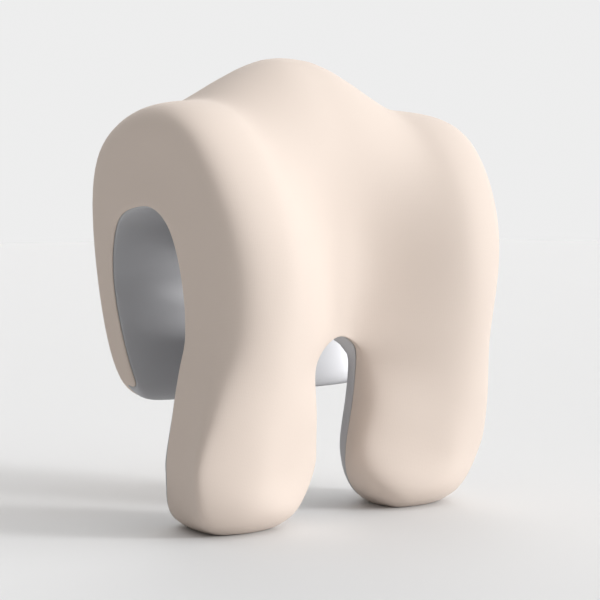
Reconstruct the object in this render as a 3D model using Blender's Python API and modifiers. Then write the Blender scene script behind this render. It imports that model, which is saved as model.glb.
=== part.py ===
# Chair headrest pillow: a moulded foam saddle in a knit cover, standing on its two front legs.
# Metres, +Z up. The front faces -Y, and the pillow is the same on both sides of X = 0.
# The origin is at floor level, under the middle of the pillow's width and depth.

import math
from collections import namedtuple

import bmesh
import bpy
from mathutils import Vector

# Driving dimensions
HALF_WIDTH = 0.129
CENTRE_REACH = 0.028  # X of the column beside the middle
VALLEY_REACH = 0.068  # X of the valley between the hump and a shoulder
BACK_REACH = 0.100  # X of the inside's column near the tunnel's edge
ARCH_HALF = 0.0230  # radius of the arch between the legs
ARCH_TOP = 0.1275  # its height
ARCH_LIP = 0.012  # rounding where the arch meets the front
ARCH_BACK_LIP = 0.0035  # the same at the back
FLAP_BOTTOM = 0.0815  # height of the back flap's lower edge
FOOT_SINK = 0.008  # how far a foot's round bottom would reach below the floor

LINING_THICK = 0.0020
LINING_CLEAR = 0.0006  # air between the lining and the foam behind it
RIM_WIDTH = 0.0012  # the cover's turned edge, beside the lining
SEAM_CLEAR = 0.0008  # air between the lining's edge and the foam beside it

SHARE_OF_RISE = 0.86  # the column beside the middle has this much of the middle's rise
CORNER = 0.293  # a 45 degree point of a rounding lies this share of its radius inside
DIAGONAL = 0.707  # sine and cosine of 45 degrees
LEG_EDGE = 0.0065  # from the gap to the leg's inner front column
SOLE_INSET = 0.35  # the sole's inner column, as a share of the way from the valley to the crest
HEEL_BACK_X = 0.58  # the back column on the heel's rounding, as shares of its radius
HEEL_BACK_Y = 0.094

LEVELS = 2
FITTING_PASSES = 8

# One row for each section along the U, from the feet over the top to the flap's lower edge.
# out: the bolster's crest. back: the tunnel's side. half: half the width. crest: the crest's X.
# rise: the middle's height above the crest, or the leg's inner front edge's. valley: the same for
# the valley. inset and drop: how far the corner between front and side lies in from the side's
# middle and below the crest. turn: radius between side and back. heel: radius of a leg's inner back edge.
# seam: how far the lining comes round that edge. gap: half the space between the legs.
# crease: how sharp the tunnel's edge is.
Section = namedtuple(
    "Section",
    "name out_y out_z back_y back_z half crest rise valley inset drop turn heel seam gap crease",
)
ARCH_45 = DIAGONAL * ARCH_HALF
SECTIONS = tuple(Section._make(row) for row in (
    ("sole", -0.0485, 0.0065, 0.0165, 0.003, 0.112, 0.089,
     -0.0125, -0.0035, 0.001, 0.010, 0.030, 0.052, 0.0235, 0.0455, 0),
    ("foot", -0.0585, 0.027, 0.0135, 0.0295, 0.1275, 0.098,
     -0.016, -0.004, -0.0003, 0.0115, 0.035, 0.053, 0.0305, 0.024, 0),
    ("calf", -0.063, 0.051, 0.003, 0.0525, 0.1325, 0.1000,
     -0.019, -0.004, -0.0005, 0.0095, 0.026, 0.037, 0.026, 0.0205, 0.1),
    ("leg", -0.070, 0.0785, -0.0055, 0.078, 0.130, 0.1005,
     -0.0215, -0.006, 0.0005, 0.0095, 0.017, 0.0275, 0.0214, 0.0235, 0.2),
    ("spring", -0.0765, 0.105, -0.0145, 0.105, 0.1275, 0.0995,
     -0.0305, -0.0065, 0.0035, 0.0105, 0.008, 0.019, 0.0175, ARCH_HALF, 0.35),
    ("arch", -0.083, 0.1315, -0.0235, 0.1295, 0.1255, 0.098,
     -0.0385, -0.0075, 0.0065, 0.0105, 0.002, 0.011, 0.014, ARCH_45, 0.45),
    ("pad", -0.088, 0.1755, -0.024, 0.164, 0.128, 0.0955,
     -0.0445, -0.008, 0.0075, 0.0095, 0.002, 0, 0, 0, 0.45),
    ("brow", -0.0765, 0.224, -0.017, 0.199, 0.132, 0.0955,
     -0.036, -0.0095, 0.0055, 0.008, 0.002, 0, 0, 0, 0.45),
    ("corner", -0.041, 0.273, -0.004, 0.2135, 0.134, 0.0965,
     -0.003, -0.0055, 0.002, 0.0065, 0.002, 0, 0, 0, 0.45),
    ("top", 0.009, 0.2885, 0.010, 0.2165, 0.134, 0.0925,
     0.033, 0.0075, 0.0025, 0.008, 0.002, 0, 0, 0, 0.45),
    ("back_top", 0.0555, 0.279, 0.032, 0.2125, 0.133, 0.0945,
     0.0225, 0.006, 0.006, 0.0105, 0.002, 0, 0, 0, 0.45),
    ("back", 0.0845, 0.241, 0.0465, 0.1965, 0.1305, 0.0955,
     -0.001, -0.0035, 0.0075, 0.0085, 0.002, 0, 0, 0, 0.45),
    ("flap", 0.0775, 0.1555, 0.0485, 0.1505, 0.128, 0.0945,
     -0.004, -0.0035, 0.006, 0.006, 0.002, 0, 0, 0, 0.45),
    ("flap_edge", 0.062, 0.0965, 0.0405, 0.0955, 0.1170, 0.086,
     0.001, 0.001, 0.0035, 0.0026, 0.002, 0, 0, 0, 0.25),
))
ARCH_ROW = 5  # the first section that is whole across the middle
COVER, LINING = 0, 1
# Columns across half of a section, outside: middle, beside it, valley, crest, edge.
# Inside: middle, beside it, crest, edge.


def fabric(name, colour, roughness):
    material = bpy.data.materials.new(name)
    material.use_nodes = True
    shader = material.node_tree.nodes["Principled BSDF"]
    shader.inputs["Base Color"].default_value = (*colour, 1.0)
    shader.inputs["Roughness"].default_value = roughness
    shader.inputs["Metallic"].default_value = 0.0
    material.diffuse_color = (*colour, 1.0)
    return material


def section_points(row):
    """The surface's points on one section: the outer columns, the tunnel's columns, the side wall."""
    out = Vector((0.0, row.out_y, row.out_z))
    back = Vector((0.0, row.back_y, row.back_z))
    thick = (out - back).length
    away = (out - back) / thick
    scale = row.half / HALF_WIDTH
    turn = CORNER * row.turn
    outer_beside, inner_beside = CENTRE_REACH * scale, CENTRE_REACH * scale
    beside_rise, heel_depth = row.rise * SHARE_OF_RISE, 0.0
    if row.gap > 0:
        outer_beside = row.gap + LEG_EDGE
        inner_beside = row.gap + HEEL_BACK_X * row.heel
        beside_rise, heel_depth = row.rise, HEEL_BACK_Y * row.heel
    columns = (
        (0.0, row.rise),
        (outer_beside, beside_rise),
        (VALLEY_REACH * scale, row.valley),
        (row.crest, 0.0),
        (row.half - row.inset, -row.drop),
    )
    outer = [Vector((x, 0, 0)) + out + away * rise for x, rise in columns]
    columns = (
        (0.0, 0.0),
        (inner_beside, heel_depth),
        (BACK_REACH * scale, 0.0),
        (row.half - turn, turn),
    )
    inner = [Vector((x, 0, 0)) + back + away * deep for x, deep in columns]
    middle = (row.turn + thick - row.drop) / 2
    wall = Vector((row.half, 0, 0)) + back + away * middle
    return outer, inner, wall


class Lattice:
    """Collects the surface's points, the faces between them, and how sharp an edge is."""

    def __init__(self):
        self.points = []
        self.faces = []
        self.creases = {}

    def add(self, point):
        self.points.append(Vector(point))
        return len(self.points) - 1

    def face(self, kind, *corners):
        self.faces.append((corners, kind))


def seam_point(row):
    """Where the lining's edge runs down a leg's inner side, on its rounding or past it."""
    inside = max(row.heel - row.seam, 0.0)
    round_off = row.heel - math.sqrt(row.heel**2 - inside**2)
    return Vector((row.gap + round_off, row.back_y - row.seam, row.out_z))


def arch_points(grid, outer, inner, gap):
    """Sets the arch's section round its 45 degree point, and gives the point at its crown."""
    arch = SECTIONS[ARCH_ROW]
    front = arch.out_y - arch.rise
    side = ARCH_TOP - ARCH_HALF + arch.gap
    lip, back_lip = CORNER * ARCH_LIP, CORNER * ARCH_BACK_LIP
    grid.points[outer[0]] = Vector((0, front + lip, ARCH_TOP + lip))
    grid.points[outer[1]] = Vector((arch.gap + DIAGONAL * lip, front, side + DIAGONAL * lip))
    grid.points[gap].z = side
    grid.points[inner[0]] = Vector((0, arch.back_y, ARCH_TOP + back_lip))
    grid.points[inner[1]] = Vector((arch.gap + back_lip, arch.back_y, side + back_lip))
    return grid.add((0, arch.back_y - arch.seam, ARCH_TOP))


def pillow_lattice():
    """One half of the pillow, open at X = 0."""
    grid = Lattice()
    outer, inner, wall, gap = [], [], [], []
    for number, row in enumerate(SECTIONS):
        out_points, in_points, wall_point = section_points(row)
        first = 0 if number >= ARCH_ROW else 1
        outer.append([None] * first + [grid.add(p) for p in out_points[first:]])
        inner.append([None] * first + [grid.add(p) for p in in_points[first:]])
        wall.append(grid.add(wall_point))
        if row.gap > 0:
            gap.append(grid.add(seam_point(row)))
    crown = arch_points(grid, outer[ARCH_ROW], inner[ARCH_ROW], gap[ARCH_ROW])
    for low in range(len(SECTIONS) - 1):
        high = low + 1
        first = 0 if low >= ARCH_ROW else 1
        for c in range(first, len(outer[low]) - 1):
            grid.face(COVER, outer[low][c], outer[low][c + 1], outer[high][c + 1], outer[high][c])
        for c in range(first, len(inner[low]) - 1):
            grid.face(LINING, inner[low][c + 1], inner[low][c], inner[high][c], inner[high][c + 1])
        grid.face(COVER, outer[low][-1], wall[low], wall[high], outer[high][-1])
        grid.face(COVER, wall[low], inner[low][-1], inner[high][-1], wall[high])
        if low < ARCH_ROW:
            grid.face(COVER, gap[low], outer[low][1], outer[high][1], gap[high])
            grid.face(LINING, inner[low][1], gap[low], gap[high], inner[high][1])
        grid.creases[(inner[low][-1], inner[high][-1])] = SECTIONS[low].crease
    grid.face(COVER, outer[ARCH_ROW][1], outer[ARCH_ROW][0], crown, gap[ARCH_ROW])
    grid.face(LINING, gap[ARCH_ROW], crown, inner[ARCH_ROW][0], inner[ARCH_ROW][1])
    close_foot(grid, outer[0], inner[0], wall[0], gap[0])
    close_flap(grid, outer[-1], inner[-1], wall[-1])
    return grid


def close_foot(grid, outer, inner, wall, gap):
    _, beside, valley, crest, edge = outer
    _, back_beside, back_crest, back_edge = inner
    depth = (grid.points[crest].y + grid.points[back_crest].y) / 2
    valley_x, crest_x = grid.points[valley].x, grid.points[crest].x
    sole_x = valley_x + SOLE_INSET * (crest_x - valley_x)
    under = [grid.add((x, depth, -FOOT_SINK)) for x in (sole_x, crest_x)]
    grid.face(COVER, valley, beside, gap, under[0])
    grid.face(COVER, crest, valley, under[0], under[1])
    grid.face(COVER, edge, crest, under[1], wall)
    grid.face(COVER, under[1], under[0], gap, back_beside, back_crest)
    grid.face(COVER, wall, under[1], back_crest, back_edge)


def close_flap(grid, outer, inner, wall):
    """The lining runs on to the middle of the flap's lower edge."""
    middle, beside, crest, edge = inner
    line = []
    for c in outer[:-1]:
        depth = (grid.points[c].y + grid.points[crest].y) / 2
        line.append(grid.add((grid.points[c].x, depth, FLAP_BOTTOM)))
    line.append(wall)
    for c in range(len(outer) - 1):
        grid.face(COVER, outer[c], outer[c + 1], line[c + 1], line[c])
    grid.face(LINING, line[0], line[1], beside, middle)
    grid.face(LINING, line[1], line[2], line[3], crest, beside)
    grid.face(LINING, line[3], wall, edge, crest)


def cage_object(grid):
    mesh = bpy.data.meshes.new("form_cage")
    mesh.from_pydata([tuple(p) for p in grid.points], [], [face for face, _ in grid.faces])
    cage = bpy.data.objects.new("form_cage", mesh)
    for polygon, (_, kind) in zip(mesh.polygons, grid.faces):
        polygon.material_index = kind
    shaped = bmesh.new()
    shaped.from_mesh(mesh)
    crease = shaped.edges.layers.float.new("crease_edge")
    shaped.verts.ensure_lookup_table()
    for (a, b), value in grid.creases.items():
        shaped.edges.get((shaped.verts[a], shaped.verts[b]))[crease] = value
    shaped.to_mesh(mesh)
    shaped.free()
    mirror = cage.modifiers.new("other_half", "MIRROR")
    mirror.use_clip = True
    mirror.merge_threshold = 0.0001
    smooth = cage.modifiers.new("smooth", "SUBSURF")
    smooth.levels = smooth.render_levels = LEVELS
    return cage


def fit_cage(cage, wanted):
    """Moves the cage's points until the smooth surface runs through the wanted ones."""
    for _ in range(FITTING_PASSES):
        bpy.context.view_layer.update()
        graph = bpy.context.evaluated_depsgraph_get()
        evaluated = cage.evaluated_get(graph)
        mesh = evaluated.to_mesh()
        reached = [mesh.vertices[i].co.copy() for i in range(len(wanted))]
        evaluated.to_mesh_clear()
        for vertex, want, have in zip(cage.data.vertices, wanted, reached):
            step = want - have
            if want.x == 0:
                step.x = 0
            vertex.co += step
        cage.data.update()


def settle_on_floor(shape):
    """Cuts the feet level with the floor, and centres the pillow's depth on the origin."""
    every = shape.verts[:] + shape.edges[:] + shape.faces[:]
    cut = bmesh.ops.bisect_plane(
        shape, geom=every, plane_co=(0, 0, 0), plane_no=(0, 0, 1), clear_inner=True
    )
    rim = [item for item in cut["geom_cut"] if isinstance(item, bmesh.types.BMEdge)]
    bmesh.ops.holes_fill(shape, edges=rim)
    depths = [vertex.co.y for vertex in shape.verts]
    middle = (min(depths) + max(depths)) / 2
    bmesh.ops.translate(shape, verts=shape.verts, vec=(0, -middle, 0))


def lining_bed(shape):
    """The faces that the lining covers, a rim's width inside the cover's edge."""
    bed = [face for face in shape.faces if face.material_index == LINING]
    rim = bmesh.ops.inset_region(
        shape, faces=bed, thickness=RIM_WIDTH, use_boundary=True, use_even_offset=False
    )
    for face in rim["faces"]:
        face.material_index = COVER
    bed = bmesh.ops.triangulate(shape, faces=bed)["faces"]
    shape.normal_update()
    facing = shape.verts.layers.float_vector.new("facing")
    for face in bed:
        for vertex in face.verts:
            vertex[facing] += face.normal * face.calc_area()
    for vertex in {vertex for face in bed for vertex in face.verts}:
        vertex[facing] = vertex[facing].normalized()
    return bed


def raise_faces(shape, faces, height):
    """Extrudes the faces and moves the new ones the way that their points face."""
    facing = shape.verts.layers.float_vector["facing"]
    made = bmesh.ops.extrude_face_region(shape, geom=faces)["geom"]
    for vertex in made:
        if isinstance(vertex, bmesh.types.BMVert):
            vertex.co += vertex[facing] * height


def lining_panel(foam, bed):
    """The panel: its face level with the cover, its edge and its back clear of the foam."""
    panel = foam.copy()
    panel.faces.ensure_lookup_table()
    kept = {face.index for face in bed}
    rest = [face for face in panel.faces if face.index not in kept]
    bmesh.ops.delete(panel, geom=rest, context="FACES")
    trim = bmesh.ops.inset_region(
        panel, faces=panel.faces[:], thickness=SEAM_CLEAR, use_boundary=True, use_even_offset=False
    )
    bmesh.ops.delete(panel, geom=trim["faces"], context="FACES")
    raise_faces(panel, panel.faces[:], -LINING_THICK)
    bmesh.ops.recalc_face_normals(panel, faces=panel.faces[:])
    return panel


def mesh_object(name, shape, material, collection):
    mesh = bpy.data.meshes.new(name)
    shape.to_mesh(mesh)
    mesh.materials.append(material)
    for polygon in mesh.polygons:
        polygon.material_index = 0
    mesh.shade_smooth()
    thing = bpy.data.objects.new(name, mesh)
    collection.objects.link(thing)
    return thing


def main():
    for thing in list(bpy.data.objects):
        bpy.data.objects.remove(thing)
    pillow = bpy.data.collections.new("headrest_pillow")
    guides = bpy.data.collections.new("guides")
    bpy.context.scene.collection.children.link(pillow)
    bpy.context.scene.collection.children.link(guides)
    cover = fabric("cover_knit", (0.72, 0.62, 0.55), 0.85)
    lining = fabric("lining_mesh", (0.62, 0.62, 0.64), 0.9)

    grid = pillow_lattice()
    cage = cage_object(grid)
    cage.data.materials.append(cover)
    cage.data.materials.append(lining)
    guides.objects.link(cage)
    fit_cage(cage, grid.points)

    form = bpy.data.meshes.new_from_object(cage.evaluated_get(bpy.context.evaluated_depsgraph_get()))
    cage.hide_render = True
    cage.display_type = "WIRE"
    shape = bmesh.new()
    shape.from_mesh(form)
    bpy.data.meshes.remove(form)
    settle_on_floor(shape)
    bed = lining_bed(shape)
    shape.faces.index_update()
    panel = lining_panel(shape, bed)
    raise_faces(shape, bed, -LINING_THICK - LINING_CLEAR)
    bmesh.ops.delete(shape, geom=bed, context="FACES")
    mesh_object("pillow_body", shape, cover, pillow)
    mesh_object("tunnel_lining", panel, lining, pillow)
    shape.free()
    panel.free()


main()
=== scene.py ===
import math
from collections import namedtuple

import bmesh
import bpy
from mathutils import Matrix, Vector


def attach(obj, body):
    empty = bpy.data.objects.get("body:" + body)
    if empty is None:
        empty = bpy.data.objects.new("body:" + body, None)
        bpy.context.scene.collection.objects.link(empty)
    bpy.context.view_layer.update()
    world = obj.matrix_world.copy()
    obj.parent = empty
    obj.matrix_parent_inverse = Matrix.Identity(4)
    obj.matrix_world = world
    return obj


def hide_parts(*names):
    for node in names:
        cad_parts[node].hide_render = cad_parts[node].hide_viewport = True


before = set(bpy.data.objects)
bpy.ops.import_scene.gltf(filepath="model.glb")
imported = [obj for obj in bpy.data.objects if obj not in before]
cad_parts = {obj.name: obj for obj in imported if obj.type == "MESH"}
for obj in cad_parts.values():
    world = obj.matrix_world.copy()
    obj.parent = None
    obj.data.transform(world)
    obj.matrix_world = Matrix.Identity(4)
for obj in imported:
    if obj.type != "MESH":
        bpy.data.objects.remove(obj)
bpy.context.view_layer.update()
print("frame loaded:", ", ".join(sorted(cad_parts)))


# Shader maths: a socket that takes part in sums.
class Wire:
    def __init__(self, tree, socket):
        self.tree = tree
        self.socket = socket

    def maths(self, operation, *terms):
        node = self.tree.nodes.new("ShaderNodeMath")
        node.operation = operation
        for socket, term in zip(node.inputs, terms):
            plug(self.tree, socket, term)
        return Wire(self.tree, node.outputs[0])

    def __add__(self, other):
        return self.maths("ADD", self, other)

    def __sub__(self, other):
        return self.maths("SUBTRACT", self, other)

    def __mul__(self, other):
        return self.maths("MULTIPLY", self, other)

    def __truediv__(self, other):
        return self.maths("DIVIDE", self, other)

    def __radd__(self, other):
        return self.maths("ADD", other, self)

    def __rsub__(self, other):
        return self.maths("SUBTRACT", other, self)

    def __rmul__(self, other):
        return self.maths("MULTIPLY", other, self)

    def __pow__(self, other):
        return self.maths("POWER", self, other)

    def __abs__(self):
        return self.maths("ABSOLUTE", self)


def plug(tree, socket, term):
    if isinstance(term, Wire):
        tree.links.new(term.socket, socket)
    else:
        socket.default_value = term


class Finish:
    def __init__(self, name):
        self.material = bpy.data.materials.new(name)
        self.material.use_nodes = True
        self.tree = self.material.node_tree
        self.shader = self.tree.nodes["Principled BSDF"]

    def node(self, kind, settings, inputs, output=0):
        made = self.tree.nodes.new(kind)
        for key, value in settings.items():
            setattr(made, key, value)
        for key, term in inputs.items():
            plug(self.tree, made.inputs[key], term)
        return Wire(self.tree, made.outputs[output])

    def axes(self, output):
        place = self.node("ShaderNodeTexCoord", {}, {}, output)
        parts = self.tree.nodes.new("ShaderNodeSeparateXYZ")
        self.tree.links.new(place.socket, parts.inputs[0])
        return [Wire(self.tree, socket) for socket in parts.outputs]

    def put(self, key, term):
        plug(self.tree, self.shader.inputs[key], term)


# What both knits share. The loops' height is a swell along each leg and a groove between the wales.
knit = {
    "legSwell": 0.3,
    "groove": 0.4,
    "grooveEdge": 3,
    "sideEdge": 6,
    "cloudScale": 22.0,
    "fuzzScale": 1400.0,
    "noiseDetail": 2.0,
    "roughnessSpread": 0.1,
    "loopHeight": 0.8,
    "fuzzHeight": 0.2,
    "sheenRoughness": 0.5,
    "specular": 0.25,
}


def knitLoops(across, along, yarn):
    # A plain jersey face: wales side by side, with each loop's legs leaning to a V.
    wale = across / yarn["wale"]
    lean = abs(wale.maths("FRACT", wale) - 0.5)
    turn = (along / yarn["course"] + lean * yarn["lean"]) * (2 * math.pi)
    leg = turn.maths("SINE", turn) * knit["legSwell"] + knit["legSwell"]
    between = (1 - lean * 2) ** knit["grooveEdge"]
    return leg + between * -knit["groove"] + knit["groove"]


def knitFinish(name, yarn):
    finish = Finish(name)
    x, y, z = finish.axes("Object")
    facing = [abs(part) ** knit["sideEdge"] for part in finish.axes("Normal")]
    whole = facing[0] + facing[1] + facing[2]
    loops = (
        facing[0] * knitLoops(y, z, yarn)
        + facing[1] * knitLoops(x, z, yarn)
        + facing[2] * knitLoops(x, y, yarn)
    ) / whole
    place = finish.node("ShaderNodeTexCoord", {}, {}, "Object")
    cloud, fuzz = [
        finish.node(
            "ShaderNodeTexNoise", {}, {"Vector": place, "Scale": scale, "Detail": knit["noiseDetail"]}, "Fac"
        )
        for scale in (knit["cloudScale"], knit["fuzzScale"])
    ]
    # The colour is darker where the cloud noise is low, a random tone the yarn has, and in the grooves
    # between the wales, which is painted shade.
    toneAndShadeMix = cloud * yarn["cloud"] + loops * yarn["grooveShade"] + (1 - yarn["cloud"] / 2 - yarn["grooveShade"] / 2)
    toneAndShadeColour = [part * yarn["toneAndShadeDepth"] for part in yarn["colour"]]
    finish.put("Base Color", finish.node(
        "ShaderNodeMix",
        {"data_type": "RGBA"},
        {0: toneAndShadeMix, 6: (*toneAndShadeColour, 1), 7: (*yarn["colour"], 1)},
        2,
    ))
    finish.put("Roughness", yarn["roughness"] + (fuzz - 0.5) * knit["roughnessSpread"])
    height = loops * knit["loopHeight"] + fuzz * knit["fuzzHeight"]
    bump = finish.node(
        "ShaderNodeBump", {}, {"Strength": yarn["relief"], "Distance": yarn["depth"], "Height": height}
    )
    finish.put("Normal", bump)
    finish.put("Sheen Weight", yarn["sheen"])
    finish.put("Sheen Roughness", knit["sheenRoughness"])
    finish.put("Specular IOR Level", knit["specular"])
    return finish.material


mergeWithin = 0.00002


def deselectAll():
    if bpy.context.object and bpy.context.object.mode != "OBJECT":
        bpy.ops.object.mode_set(mode="OBJECT")
    bpy.ops.object.select_all(action="DESELECT")


def pickOnly(thing):
    deselectAll()
    thing.select_set(True)
    bpy.context.view_layer.objects.active = thing


def copyOfNode(node, name):
    # A copy of the solid's mesh with its loose triangles joined up again.
    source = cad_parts[node]
    piece = bpy.data.objects.new(name, source.data.copy())
    piece.data.name = name
    piece.data.materials.clear()
    bpy.context.scene.collection.objects.link(piece)
    pickOnly(piece)
    bpy.ops.object.mode_set(mode="EDIT")
    bpy.ops.mesh.select_all(action="SELECT")
    bpy.ops.mesh.remove_doubles(threshold=mergeWithin)
    bpy.ops.mesh.tris_convert_to_quads()
    bpy.ops.mesh.normals_make_consistent(inside=False)
    bpy.ops.object.mode_set(mode="OBJECT")
    return piece


def applied(piece, kind, settings):
    pickOnly(piece)
    modifier = piece.modifiers.new(kind.lower(), kind)
    for key, value in settings.items():
        setattr(modifier, key, value)
    bpy.ops.object.modifier_apply(modifier=modifier.name)


def finished(piece, material, node):
    piece.data.materials.append(material)
    pickOnly(piece)
    bpy.ops.object.shade_smooth()
    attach(piece, "root")
    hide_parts(node)


def softenFeet(piece, sizes):
    # Softens the fronts of the feet, where they bend under. The flat spots that they stand on stay.
    shape = bmesh.new()
    shape.from_mesh(piece.data)
    share = {}
    for vertex in shape.verts:
        high = (sizes["softTop"] - vertex.co.z) / sizes["softFade"]
        low = (vertex.co.z - sizes["softLow"]) / sizes["softRise"]
        front = (sizes["softBack"] - vertex.co.y) / sizes["softFade"]
        amount = max(0.0, min(1.0, high, low, front))
        if amount > 0:
            share[vertex] = amount
    for _ in range(sizes["softRounds"]):
        moved = {}
        for vertex, amount in share.items():
            near = [edge.other_vert(vertex).co for edge in vertex.link_edges]
            middle = sum(near, Vector()) / len(near)
            moved[vertex] = vertex.co.lerp(middle, sizes["softStep"] * amount)
        for vertex, place in moved.items():
            vertex.co = place
    shape.to_mesh(piece.data)
    shape.free()


# The feet are filled out a little just above the floor, with what is sewn to them.
footSizes = {
    "full": 0.0042,
    "top": 0.044,
    "middleX": 0.0805,
    "middleY": -0.012,
}


def fillFeet(piece, sizes):
    for vertex in piece.data.vertices:
        if 0 < vertex.co.z < sizes["top"]:
            middle = Vector((math.copysign(sizes["middleX"], vertex.co.x), sizes["middleY"], vertex.co.z))
            rise = math.sin(math.pi * math.sqrt(vertex.co.z / sizes["top"])) ** 2
            vertex.co += (vertex.co - middle).normalized() * sizes["full"] * rise


# The filled foam body in its knit cover
bodySizes = {
    "levels": 1,
    "softTop": 0.045,
    "softBack": -0.018,
    "softFade": 0.012,
    "softRounds": 10,
    "softStep": 0.5,
    "softLow": 0.0015,
    "softRise": 0.003,
    "fill": 0.95,
    "yarn": {
        "colour": (0.72, 0.615, 0.54),
        # How dark the colour gets, for the random tone and for the painted shade in the grooves.
        "toneAndShadeDepth": 0.72,
        "wale": 0.0011,
        "course": 0.0009,
        "lean": 1.1,
        "cloud": 0.06,
        # How much painted shade darkens the grooves between the wales.
        "grooveShade": 0.22,
        "roughness": 0.86,
        "relief": 0.45,
        "depth": 0.00012,
        "sheen": 0.12,
    },
}


def makeBody():
    body = copyOfNode("pillow_body", "pillowBody")
    applied(body, "SUBSURF", {"levels": bodySizes["levels"], "render_levels": bodySizes["levels"]})
    softenFeet(body, bodySizes)
    fillFeet(body, footSizes)
    finished(body, knitFinish("coverKnit", bodySizes["yarn"]), "pillow_body")
    print("body made:", len(body.data.polygons), "faces")


# The grey panel inside the U
liningSizes = {
    "levels": 1,
    "flat": (0.256, 0.405),
    "area": 0.096,
    "reach": 0.0006,
    "sharpAngle": 0.9,
    "crease": 0.6,
    "yarn": {
        "colour": (0.53, 0.53, 0.545),
        # How dark the colour gets, for the random tone and for the painted shade in the grooves.
        "toneAndShadeDepth": 0.7,
        "wale": 0.0009,
        "course": 0.0008,
        "lean": 1.1,
        "cloud": 0.05,
        # How much painted shade darkens the grooves between the wales.
        "grooveShade": 0.25,
        "roughness": 0.9,
        "relief": 0.5,
        "depth": 0.00012,
        "sheen": 0.08,
    },
}


def spreadEdge(piece, sizes):
    # Moves the panel's cut edge outwards, so that it meets the cover's edge.
    shape = bmesh.new()
    shape.from_mesh(piece.data)
    crease = shape.edges.layers.float.new("crease_edge")
    shape.normal_update()
    sharp = {
        edge
        for edge in shape.edges
        if len(edge.link_faces) == 2 and edge.calc_face_angle() > sizes["sharpAngle"]
    }
    side = [face for face in shape.faces if sum(edge in sharp for edge in face.edges) >= 2]
    outward = {}
    for face in side:
        for vertex in face.verts:
            outward[vertex] = outward.get(vertex, Vector()) + face.normal
    for vertex, way in outward.items():
        vertex.co += way.normalized() * sizes["reach"]
    for edge in sharp:
        edge[crease] = sizes["crease"]
    shape.to_mesh(piece.data)
    shape.free()


def makeLining():
    lining = copyOfNode("tunnel_lining", "tunnelLining")
    spreadEdge(lining, liningSizes)
    applied(lining, "SUBSURF", {"levels": liningSizes["levels"], "render_levels": liningSizes["levels"]})
    fillFeet(lining, footSizes)
    finished(lining, knitFinish("liningKnit", liningSizes["yarn"]), "tunnel_lining")
    print("lining made:", len(lining.data.polygons), "faces")
    return lining


makeBody()
lining = makeLining()

# The studio: a pale floor before a pale backdrop, which the camera sees brighter than the sky that lights
# the pillow.
studio = {
    "floorHalf": 8.0,
    "floor": 0.73,
    "floorRoughness": 0.7,
    "floorSpecular": 0.2,
    "sky": 0.236,
    "backdrop": 0.852,
    "glowRadius": 0.004,
}

# The lamps' azimuth runs from straight in front towards +X, and it, the height and the width are degrees.
# The warmth is added to a lamp's red and taken from its blue.
Lamp = namedtuple("Lamp", "name azimuth height power width warmth")
lamps = [Lamp._make(row) for row in (
    ("key", 32, 20, 1.7, 14, -0.015),
    ("keySoft", 36, 27, 1.5, 80, -0.015),
    ("rearSide", 135, 8, 1.55, 60, 0.03),
    ("above", 0, 90, 0.72, 80, 0),
    ("rearHigh", 180, 50, 0.35, 60, 0.02),
)]

# Three small lamps shine through the tunnel, on the lining only.
Glow = namedtuple("Glow", "name place target power cone blend")
glows = [Glow._make(row) for row in (
    ("farGlow", (0.170, -0.010, 0.115), (0.066, 0.045, 0.100), 1.2, 30, 0.7),
    ("highGlow", (0.004, 0.008, 0.150), (-0.060, 0.045, 0.166), 0.20, 30, 1.0),
    ("lowGlow", (0.004, 0.008, 0.146), (-0.060, 0.045, 0.144), 0.20, 30, 1.0),
)]


def hangLamp(row, kind, toward):
    # A lamp that shines from the way that toward points to.
    light = bpy.data.lights.new(row.name, kind)
    light.energy = row.power
    lamp = bpy.data.objects.new(row.name, light)
    lamp.rotation_mode = "QUATERNION"
    lamp.rotation_quaternion = toward.to_track_quat("Z", "Y")
    bpy.context.scene.collection.objects.link(lamp)
    return lamp


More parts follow.
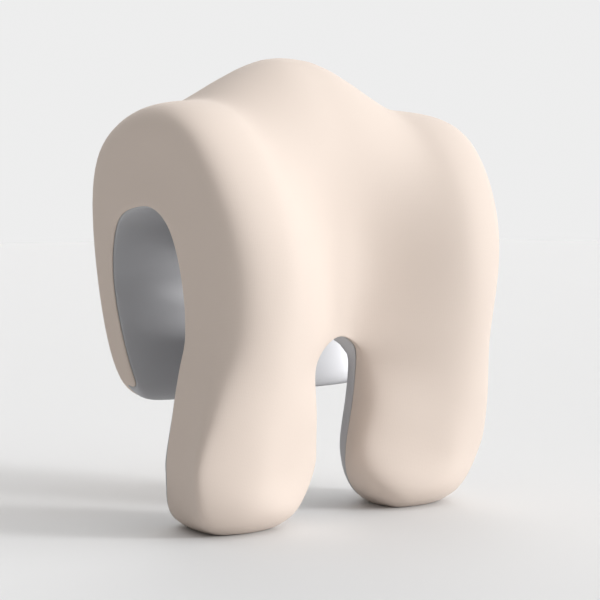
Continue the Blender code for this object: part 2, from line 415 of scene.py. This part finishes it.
def makeStudio():
    deselectAll()
    bpy.ops.mesh.primitive_plane_add(size=2 * studio["floorHalf"], location=(0, 0, 0))
    floor = bpy.context.object
    floor.name = "studioFloor"
    pale = Finish("studioPale")
    pale.put("Base Color", (studio["floor"], studio["floor"], studio["floor"], 1))
    pale.put("Roughness", studio["floorRoughness"])
    pale.put("Specular IOR Level", studio["floorSpecular"])
    floor.data.materials.append(pale.material)

    world = bpy.data.worlds.new("studioSky")
    bpy.context.scene.world = world
    world.use_nodes = True
    tree = world.node_tree
    shine = tree.nodes["Background"]
    seen = tree.nodes.new("ShaderNodeLightPath")
    straight = Wire(tree, seen.outputs["Is Camera Ray"])
    plug(tree, shine.inputs["Color"], (1, 1, 1, 1))
    plug(tree, shine.inputs["Strength"], straight * (studio["backdrop"] - studio["sky"]) + studio["sky"])

    for row in lamps:
        turned = math.radians(row.azimuth)
        up = math.radians(row.height)
        level = math.cos(up)
        toward = Vector((math.sin(turned) * level, -math.cos(turned) * level, math.sin(up)))
        lamp = hangLamp(row, "SUN", toward)
        lamp.data.angle = math.radians(row.width)
        lamp.data.color = (1 + row.warmth, 1, 1 - row.warmth)

    reached = bpy.data.collections.new("litByGlow")
    reached.objects.link(lining)
    for row in glows:
        lamp = hangLamp(row, "SPOT", Vector(row.place) - Vector(row.target))
        lamp.location = row.place
        lamp.data.spot_size = math.radians(row.cone)
        lamp.data.spot_blend = row.blend
        lamp.data.shadow_soft_size = studio["glowRadius"]
        lamp.light_linking.receiver_collection = reached
        lamp.visible_camera = False
    print("studio made:", len(lamps) + len(glows), "lamps")


# The camera looks along +Y at azimuth 0 and turns towards +X. The pitch is downwards, and both are degrees.
camera = {
    "place": (-0.8270, -0.9139, 0.2167),
    "azimuth": 42.03,
    "pitch": 3.065,
    "lens": 104.53,
    "sensor": 36.0,
    "near": 0.05,
    "far": 40.0,
}


def makeCamera():
    data = bpy.data.cameras.new("photoCamera")
    data.sensor_fit = "HORIZONTAL"
    data.sensor_width = camera["sensor"]
    data.lens = camera["lens"]
    data.clip_start = camera["near"]
    data.clip_end = camera["far"]
    view = bpy.data.objects.new("photoCamera", data)
    view.location = camera["place"]
    turned = math.radians(camera["azimuth"])
    down = math.radians(camera["pitch"])
    ahead = Vector((math.sin(turned), math.cos(turned), 0))
    look = ahead * math.cos(down) + Vector((0, 0, -math.sin(down)))
    view.rotation_mode = "QUATERNION"
    view.rotation_quaternion = look.to_track_quat("-Z", "Y")
    bpy.context.scene.collection.objects.link(view)
    bpy.context.scene.camera = view


makeStudio()
makeCamera()
bpy.context.scene.view_settings.view_transform = "Standard"
